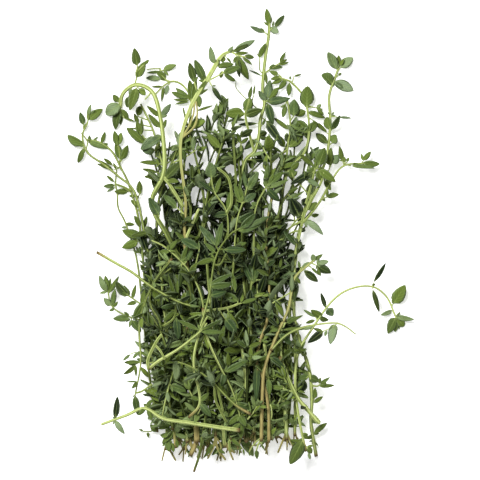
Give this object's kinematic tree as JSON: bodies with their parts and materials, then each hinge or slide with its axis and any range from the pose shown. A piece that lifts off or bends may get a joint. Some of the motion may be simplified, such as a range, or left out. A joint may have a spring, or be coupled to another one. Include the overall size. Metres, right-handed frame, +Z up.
{
  "type": "thyme bundle",
  "caption": "Loose bunch of fresh cut thyme lying flat, square stems together at the foot and leafy tips fanning out.",
  "frame": {"origin": "on the table under the middle of the bunch's box", "axes": "+Y from the cut ends towards the leafy tips, +Z up from the table, +X to the right seen from above"},
  "size_m": [0.1113, 0.1508, 0.0279],
  "materials": {
    "leafy_green": "matte",
    "young_green": "matte",
    "woody_stem": "matte"
  },
  "bodies": {
    "root": {"bottom_arc": "young_green", "centre_left_lean": "leafy_green", "centre_long": "leafy_green", "centre_right_long": "leafy_green", "cross_cutting": "young_green", "front_down": "young_green", "front_long": "young_green", "front_star": "young_green", "left_arch": "young_green", "left_bare_curve": "young_green", "left_drooping": "leafy_green", "left_fan_inner": "leafy_green", "left_fan_outer": "leafy_green", "left_low_reach": "leafy_green", "left_reach": "leafy_green", "left_swing": "leafy_green", "left_thin_arc": "leafy_green", "low_cutting": "woody_stem", "low_left_shoot": "young_green", "low_right_shoot": "leafy_green", "over_sprig_01": "leafy_green", "over_sprig_02": "leafy_green", "over_sprig_03": "leafy_green", "over_sprig_04": "leafy_green", "over_sprig_05": "leafy_green", "over_sprig_06": "leafy_green", "over_sprig_07": "leafy_green", "over_sprig_08": "leafy_green", "right_arch": "young_green", "right_edge": "leafy_green", "right_reaching": "leafy_green", "right_thin": "young_green", "tallest": "leafy_green", "under_sprig_01": "leafy_green", "under_sprig_02": "leafy_green", "under_sprig_03": "leafy_green", "under_sprig_04": "leafy_green", "under_sprig_05": "leafy_green", "under_sprig_06": "leafy_green", "under_sprig_07": "leafy_green", "under_sprig_08": "leafy_green", "under_sprig_09": "leafy_green", "under_sprig_10": "leafy_green", "under_sprig_11": "leafy_green", "under_sprig_12": "leafy_green", "under_sprig_13": "leafy_green", "upper_left_arc": "leafy_green", "upper_left_fork": "leafy_green", "upper_left_tall": "young_green", "upper_right_hook": "leafy_green", "upper_right_inner": "leafy_green", "upper_right_tall": "leafy_green", "woody_bowed": "woody_stem", "woody_crossing": "woody_stem"}
  },
  "joints": []
}
